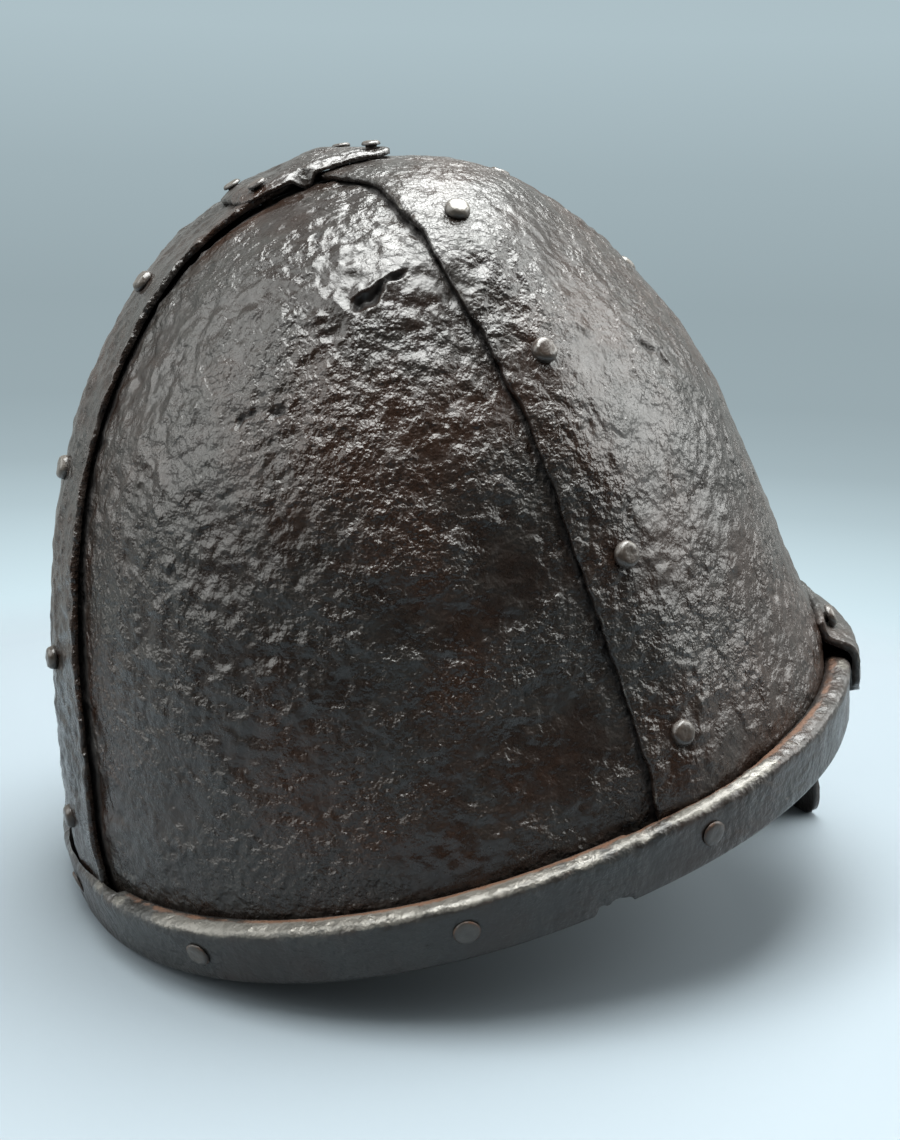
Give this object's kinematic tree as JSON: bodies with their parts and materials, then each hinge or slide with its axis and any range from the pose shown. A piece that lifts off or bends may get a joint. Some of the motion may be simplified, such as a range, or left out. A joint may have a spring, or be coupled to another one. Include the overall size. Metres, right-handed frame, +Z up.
{
  "type": "iron helmet with nasal",
  "caption": "Domed iron helmet of riveted lapped crown plates, with a brow band, an apex cap and a T-shaped plate whose bar guards the nose.",
  "frame": {"origin": "on the ground plane, under the middle of the helmet's box as it stands tilted back on the rear of its rim and the tip of its nose guard", "axes": "+X to the helmet's front, +Y to the wearer's left, +Z up from the ground; the rim plane is tilted back about 16 degrees"},
  "size_m": [0.2422, 0.223, 0.2041],
  "materials": {
    "crown_iron": "pitted, hammered dark brown-black iron with a waxed half gloss",
    "band_iron": "dark grey iron, brushed by wear, with bare steel and orange rust along its upper shoulder",
    "rivet_iron": "hammered iron heads, rubbed brighter than the plates"
  },
  "bodies": {
    "root": {"plate_front_right": "crown_iron", "plate_rear_right": "crown_iron", "plate_rear_left": "crown_iron", "plate_front_left": "crown_iron", "apex_cap": "crown_iron", "brow_band": "band_iron", "nasal_plate": "band_iron", "seam_rivet_right_1": "rivet_iron", "seam_rivet_right_2": "rivet_iron", "seam_rivet_right_3": "rivet_iron", "seam_rivet_right_4": "rivet_iron", "seam_rivet_rear_1": "rivet_iron", "seam_rivet_rear_2": "rivet_iron", "seam_rivet_rear_3": "rivet_iron", "seam_rivet_rear_4": "rivet_iron", "seam_rivet_left_1": "rivet_iron", "seam_rivet_left_2": "rivet_iron", "seam_rivet_left_3": "rivet_iron", "seam_rivet_left_4": "rivet_iron", "seam_rivet_front_1": "rivet_iron", "seam_rivet_front_2": "rivet_iron", "seam_rivet_front_3": "rivet_iron", "seam_rivet_front_4": "rivet_iron", "band_rivet_1": "rivet_iron", "band_rivet_2": "rivet_iron", "band_rivet_3": "rivet_iron", "band_rivet_4": "rivet_iron", "band_rivet_5": "rivet_iron", "band_rivet_6": "rivet_iron", "band_rivet_7": "rivet_iron", "nasal_rivet_low_1": "rivet_iron", "nasal_rivet_low_2": "rivet_iron", "nasal_rivet_high_1": "rivet_iron", "nasal_rivet_high_2": "rivet_iron", "cap_rivet_1": "rivet_iron", "cap_rivet_2": "rivet_iron", "cap_rivet_3": "rivet_iron", "cap_rivet_4": "rivet_iron"}
  },
  "joints": []
}
